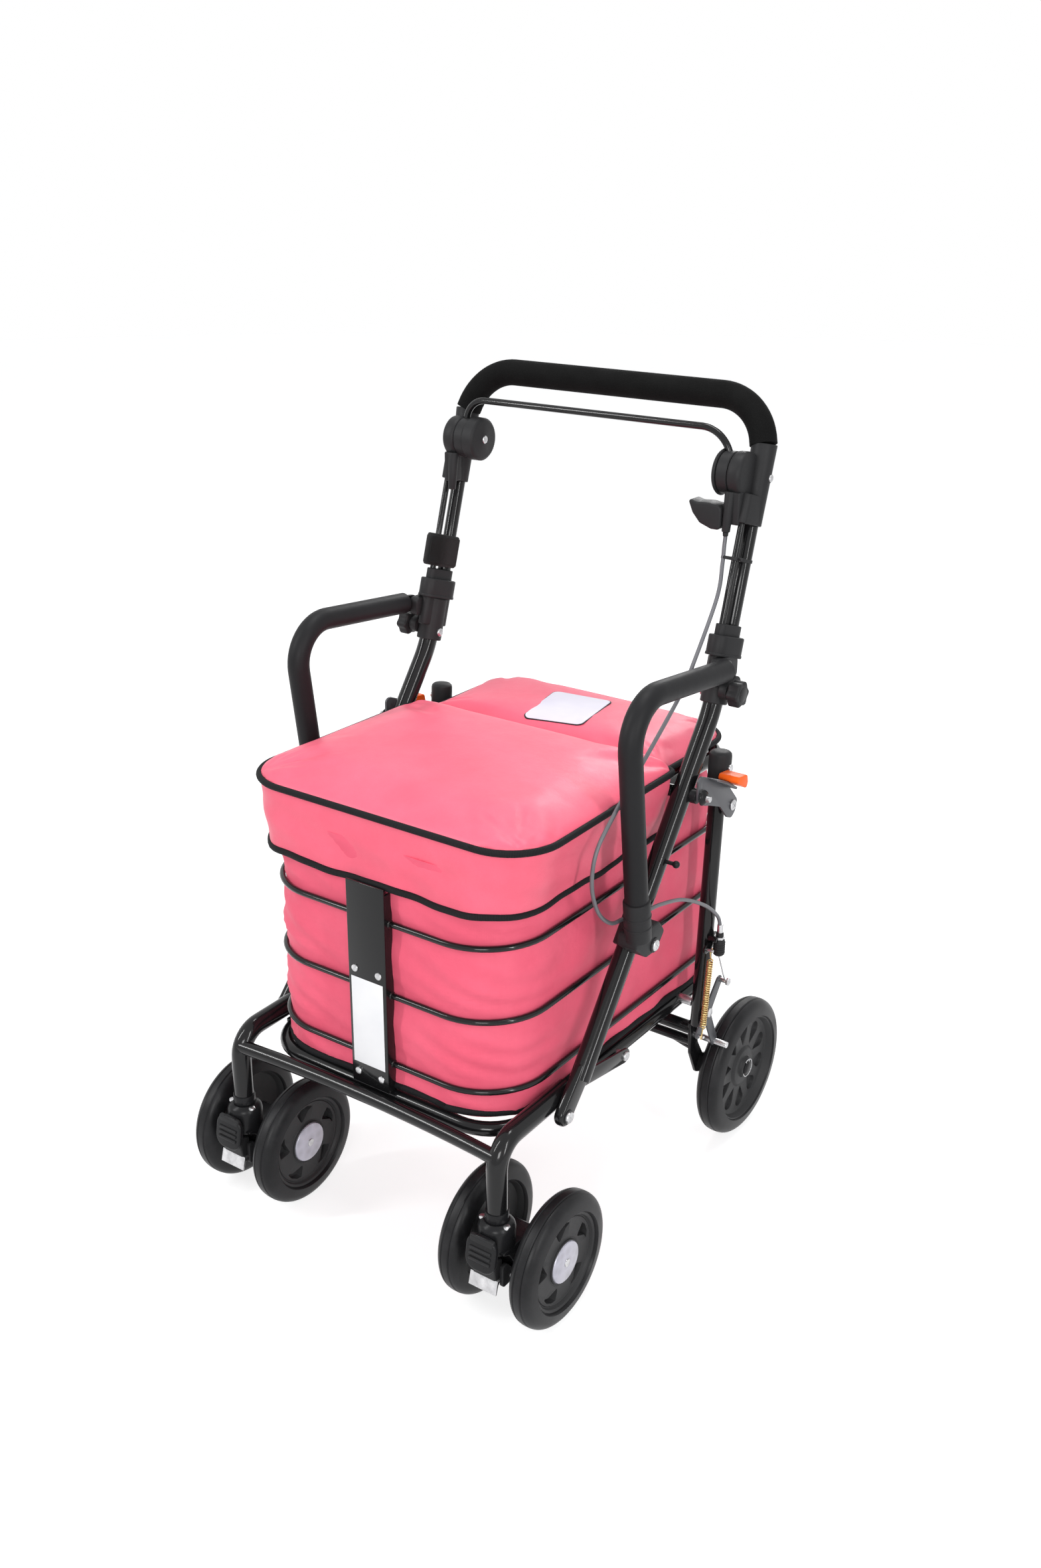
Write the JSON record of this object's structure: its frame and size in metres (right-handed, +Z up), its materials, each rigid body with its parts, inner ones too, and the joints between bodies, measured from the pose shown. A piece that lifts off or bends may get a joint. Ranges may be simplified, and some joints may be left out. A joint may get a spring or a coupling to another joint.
{
  "type": "shopping rollator",
  "caption": "Four-wheeled walking aid with a padded seat over a soft shopping bag, padded armrests, a push handle with a brake bar, swivelling front wheels and a folding rear frame.",
  "frame": {"origin": "centre of the footprint on the floor", "axes": "+Z up, the front with its swivelling wheels towards -Y, the user stands at +Y, +X is the user's left side"},
  "size_m": [0.482, 0.585, 0.9179],
  "materials": {
    "gloss_black": "gloss",
    "satin_black": "satin",
    "foam_black": "matte foam",
    "wheel_black": "satin",
    "bag_pink": "coated fabric",
    "seat_pink": "coated fabric over foam",
    "plate_black": "satin",
    "latch_grey": "satin",
    "lever_orange": "satin",
    "spring_brass": "passivated",
    "strap_black": "woven"
  },
  "bodies": {
    "frame": {"side_tube_left": "gloss_black", "side_tube_right": "gloss_black", "front_legs": "gloss_black", "link_left": "gloss_black", "link_right": "gloss_black", "base_loop": "gloss_black", "front_plate": "plate_black", "basket_ring_1": "gloss_black", "basket_ring_2": "gloss_black", "basket_ring_3": "gloss_black", "rear_strip": "gloss_black", "shopping_bag": "bag_pink", "seat_frame": "gloss_black", "rear_pad": "seat_pink", "armrest_left": "foam_black", "armrest_right": "foam_black", "arm_bracket_left": "satin_black", "arm_bracket_right": "satin_black", "handle_clamp_left": "satin_black", "handle_clamp_right": "satin_black", "brake_cable_left": "satin_black"},
    "lid": {"seat_cushion": "seat_pink", "seat_skirt": "seat_pink"},
    "handle": {"inner_tube_left": "gloss_black", "inner_tube_right": "gloss_black", "handle_housing_left": "satin_black", "handle_housing_right": "satin_black", "hook_and_loop_strap": "strap_black", "guide_rod_left": "gloss_black", "guide_rod_right": "gloss_black", "handle_grip": "foam_black"},
    "brake_bar": {"brake_bar": "gloss_black"},
    "park_lever": {"park_lever": "satin_black"},
    "rear_frame": {"rear_posts": "gloss_black", "post_cap_left": "satin_black", "post_cap_right": "satin_black", "cable_adjuster_left": "satin_black", "cable_adjuster_right": "satin_black", "brake_spring_left": "spring_brass", "brake_spring_right": "spring_brass", "cross_cable": "satin_black"},
    "knob_left": {"clamp_knob_left": "satin_black"},
    "knob_right": {"clamp_knob_right": "satin_black"},
    "brake_arm_left": {"brake_arm_left": "latch_grey"},
    "brake_arm_right": {"brake_arm_right": "latch_grey"},
    "rear_wheel_left": {"rear_wheel_left": "wheel_black"},
    "rear_wheel_right": {"rear_wheel_right": "wheel_black"},
    "latch_left": {"latch_plate_left": "latch_grey", "latch_tab_left": "lever_orange"},
    "latch_right": {"latch_plate_right": "latch_grey", "latch_tab_right": "lever_orange"},
    "caster_left": {"caster_fork_left": "satin_black"},
    "caster_right": {"caster_fork_right": "satin_black"},
    "pedal_left": {"lock_pedal_left": "satin_black"},
    "pedal_right": {"lock_pedal_right": "satin_black"},
    "front_wheel_outer_left": {"front_wheel_outer_left": "wheel_black"},
    "front_wheel_outer_right": {"front_wheel_outer_right": "wheel_black"},
    "front_wheel_inner_left": {"front_wheel_inner_left": "wheel_black"},
    "front_wheel_inner_right": {"front_wheel_inner_right": "wheel_black"}
  },
  "joints": [
    {"name": "seat_lid_hinge", "type": "hinge", "parent": "frame", "child": "lid", "pos_m": [0, 0.06, 0.54], "axis": [-1, 0, 0], "range_deg": [0, 90], "deforming": ["seat_skirt"]},
    {"name": "handle_height", "type": "slide", "parent": "frame", "child": "handle", "axis": [0, 0.2873, 0.9578], "range_m": [0, 0.04], "deforming": ["brake_cable_left"]},
    {"name": "brake_squeeze", "type": "hinge", "parent": "handle", "child": "brake_bar", "pos_m": [0, 0.1644, 0.8302], "axis": [-1, 0, 0], "range_deg": [0, 26], "stiffness_Nm_per_rad": 1.2, "springref_deg": -11.46},
    {"name": "park_lever_turn", "type": "hinge", "parent": "handle", "child": "park_lever", "pos_m": [0.198, 0.16, 0.79], "axis": [1, 0, 0], "range_deg": [0, 25]},
    {"name": "rear_frame_fold", "type": "hinge", "parent": "frame", "child": "rear_frame", "pos_m": [0, 0.12, 0.21], "axis": [1, 0, 0], "range_deg": [-50, 0], "deforming": ["brake_cable_left"]},
    {"name": "knob_turn_left", "type": "hinge", "parent": "frame", "child": "knob_left", "pos_m": [0.219, 0.108, 0.608], "axis": [1, 0, 0], "continuous": true},
    {"name": "knob_turn_right", "type": "hinge", "parent": "frame", "child": "knob_right", "pos_m": [-0.219, 0.108, 0.608], "axis": [1, 0, 0], "continuous": true},
    {"name": "brake_arm_turn_left", "type": "hinge", "parent": "rear_frame", "child": "brake_arm_left", "pos_m": [0.198, 0.117, 0.205], "axis": [1, 0, 0], "range_deg": [0, 6], "deforming": ["brake_spring_left", "cable_adjuster_left"]},
    {"name": "brake_arm_turn_right", "type": "hinge", "parent": "rear_frame", "child": "brake_arm_right", "pos_m": [-0.198, 0.117, 0.205], "axis": [1, 0, 0], "range_deg": [0, 6], "deforming": ["brake_spring_right", "cable_adjuster_right"]},
    {"name": "rear_wheel_spin_left", "type": "hinge", "parent": "rear_frame", "child": "rear_wheel_left", "pos_m": [0.2105, 0.206, 0.0874], "axis": [1, 0, 0], "continuous": true},
    {"name": "rear_wheel_spin_right", "type": "hinge", "parent": "rear_frame", "child": "rear_wheel_right", "pos_m": [-0.2105, 0.206, 0.0874], "axis": [1, 0, 0], "continuous": true},
    {"name": "latch_lift_left", "type": "hinge", "parent": "rear_frame", "child": "latch_left", "pos_m": [0.216, 0.13, 0.469], "axis": [-1, 0, 0], "range_deg": [0, 35]},
    {"name": "latch_lift_right", "type": "hinge", "parent": "rear_frame", "child": "latch_right", "pos_m": [-0.216, 0.13, 0.469], "axis": [-1, 0, 0], "range_deg": [0, 35]},
    {"name": "caster_swivel_left", "type": "hinge", "parent": "frame", "child": "caster_left", "pos_m": [0.18, -0.262, 0.133], "axis": [0, 0, 1], "continuous": true},
    {"name": "caster_swivel_right", "type": "hinge", "parent": "frame", "child": "caster_right", "pos_m": [-0.18, -0.262, 0.133], "axis": [0, 0, 1], "continuous": true},
    {"name": "pedal_press_left", "type": "hinge", "parent": "caster_left", "child": "pedal_left", "pos_m": [0.18, -0.264, 0.072], "axis": [1, 0, 0], "range_deg": [0, 15]},
    {"name": "pedal_press_right", "type": "hinge", "parent": "caster_right", "child": "pedal_right", "pos_m": [-0.18, -0.264, 0.072], "axis": [1, 0, 0], "range_deg": [0, 15]},
    {"name": "wheel_spin_outer_left", "type": "hinge", "parent": "caster_left", "child": "front_wheel_outer_left", "pos_m": [0.226, -0.218, 0.075], "axis": [1, 0, 0], "continuous": true},
    {"name": "wheel_spin_outer_right", "type": "hinge", "parent": "caster_right", "child": "front_wheel_outer_right", "pos_m": [-0.226, -0.218, 0.075], "axis": [1, 0, 0], "continuous": true},
    {"name": "wheel_spin_inner_left", "type": "hinge", "parent": "caster_left", "child": "front_wheel_inner_left", "pos_m": [0.134, -0.218, 0.075], "axis": [1, 0, 0], "continuous": true},
    {"name": "wheel_spin_inner_right", "type": "hinge", "parent": "caster_right", "child": "front_wheel_inner_right", "pos_m": [-0.134, -0.218, 0.075], "axis": [1, 0, 0], "continuous": true}
  ],
  "couplings": [
    {"joint": "brake_arm_turn_left", "follows": "brake_squeeze", "ratio": 0.23},
    {"joint": "brake_arm_turn_right", "follows": "brake_squeeze", "ratio": 0.23}
  ]
}
